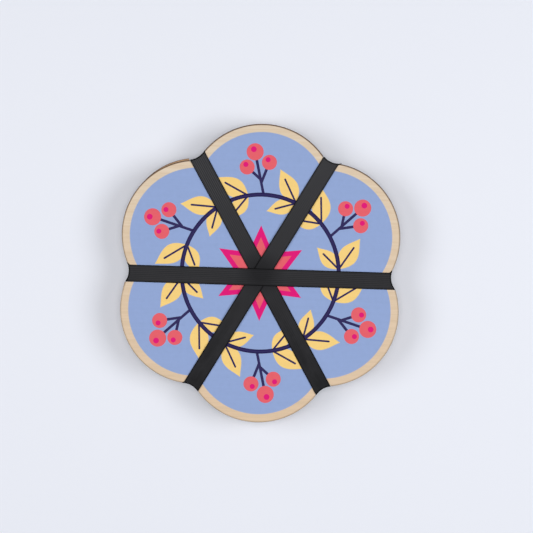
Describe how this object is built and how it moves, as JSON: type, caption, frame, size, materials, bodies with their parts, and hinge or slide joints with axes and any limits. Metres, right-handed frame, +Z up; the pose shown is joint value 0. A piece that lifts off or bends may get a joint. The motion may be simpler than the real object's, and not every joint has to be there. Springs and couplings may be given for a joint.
{
  "type": "flower press",
  "caption": "Lobed flower press: plywood boards with loose cardboard and blotting paper sheets between them, clamped by flat elastic straps that cross in the middle.",
  "frame": {"origin": "on the surface the press stands on, under the middle of the boards", "axes": "+Z up out of the printed board, +Y out through a lobe, +X out through a notch"},
  "size_m": [0.1632, 0.1751, 0.0281],
  "materials": {
    "plywood": "matte",
    "printed_plywood": "satin",
    "cardboard": "matte",
    "blotting_paper": "matte",
    "black_elastic": "matte",
    "black_thread": "satin"
  },
  "bodies": {
    "base": {"bottom_board": "plywood", "cardboard_1": "cardboard", "blotter_1": "blotting_paper", "elastic_strap_inner": "black_elastic", "elastic_strap_middle": "black_elastic", "elastic_strap_outer": "black_elastic", "strap_stitching_inner": "black_thread", "strap_stitching_middle": "black_thread", "strap_stitching_outer": "black_thread"},
    "lid": {"top_board": "printed_plywood"},
    "blotter_2": {"blotter_2": "blotting_paper"},
    "cardboard_2": {"cardboard_2": "cardboard"},
    "blotter_3": {"blotter_3": "blotting_paper"},
    "blotter_4": {"blotter_4": "blotting_paper"},
    "cardboard_3": {"cardboard_3": "cardboard"},
    "blotter_5": {"blotter_5": "blotting_paper"},
    "blotter_6": {"blotter_6": "blotting_paper"},
    "cardboard_4": {"cardboard_4": "cardboard"},
    "blotter_7": {"blotter_7": "blotting_paper"},
    "blotter_8": {"blotter_8": "blotting_paper"},
    "cardboard_5": {"cardboard_5": "cardboard"}
  },
  "joints": [
    {"name": "press_open", "type": "slide", "parent": "base", "child": "lid", "axis": [0, 0, 1], "range_m": [0, 0.02], "stiffness_N_per_m": 400, "springref_m": -0.03, "deforming": ["elastic_strap_inner", "elastic_strap_middle", "elastic_strap_outer"]},
    {"name": "blotter_2_lift", "type": "slide", "parent": "base", "child": "blotter_2", "axis": [0, 0, 1], "range_m": [0, 0.005]},
    {"name": "cardboard_2_lift", "type": "slide", "parent": "base", "child": "cardboard_2", "axis": [0, 0, 1], "range_m": [0, 0.005]},
    {"name": "blotter_3_lift", "type": "slide", "parent": "base", "child": "blotter_3", "axis": [0, 0, 1], "range_m": [0, 0.005]},
    {"name": "blotter_4_lift", "type": "slide", "parent": "base", "child": "blotter_4", "axis": [0, 0, 1], "range_m": [0, 0.01]},
    {"name": "cardboard_3_lift", "type": "slide", "parent": "base", "child": "cardboard_3", "axis": [0, 0, 1], "range_m": [0, 0.01]},
    {"name": "blotter_5_lift", "type": "slide", "parent": "base", "child": "blotter_5", "axis": [0, 0, 1], "range_m": [0, 0.01]},
    {"name": "blotter_6_lift", "type": "slide", "parent": "base", "child": "blotter_6", "axis": [0, 0, 1], "range_m": [0, 0.015]},
    {"name": "cardboard_4_lift", "type": "slide", "parent": "base", "child": "cardboard_4", "axis": [0, 0, 1], "range_m": [0, 0.015]},
    {"name": "blotter_7_lift", "type": "slide", "parent": "base", "child": "blotter_7", "axis": [0, 0, 1], "range_m": [0, 0.015]},
    {"name": "blotter_8_lift", "type": "slide", "parent": "base", "child": "blotter_8", "axis": [0, 0, 1], "range_m": [0, 0.02]},
    {"name": "cardboard_5_lift", "type": "slide", "parent": "base", "child": "cardboard_5", "axis": [0, 0, 1], "range_m": [0, 0.02]}
  ],
  "couplings": [
    {"joint": "blotter_2_lift", "follows": "press_open", "ratio": 0.25},
    {"joint": "cardboard_2_lift", "follows": "press_open", "ratio": 0.25},
    {"joint": "blotter_3_lift", "follows": "press_open", "ratio": 0.25},
    {"joint": "blotter_4_lift", "follows": "press_open", "ratio": 0.5},
    {"joint": "cardboard_3_lift", "follows": "press_open", "ratio": 0.5},
    {"joint": "blotter_5_lift", "follows": "press_open", "ratio": 0.5},
    {"joint": "blotter_6_lift", "follows": "press_open", "ratio": 0.75},
    {"joint": "cardboard_4_lift", "follows": "press_open", "ratio": 0.75},
    {"joint": "blotter_7_lift", "follows": "press_open", "ratio": 0.75},
    {"joint": "blotter_8_lift", "follows": "press_open", "ratio": 1},
    {"joint": "cardboard_5_lift", "follows": "press_open", "ratio": 1}
  ]
}
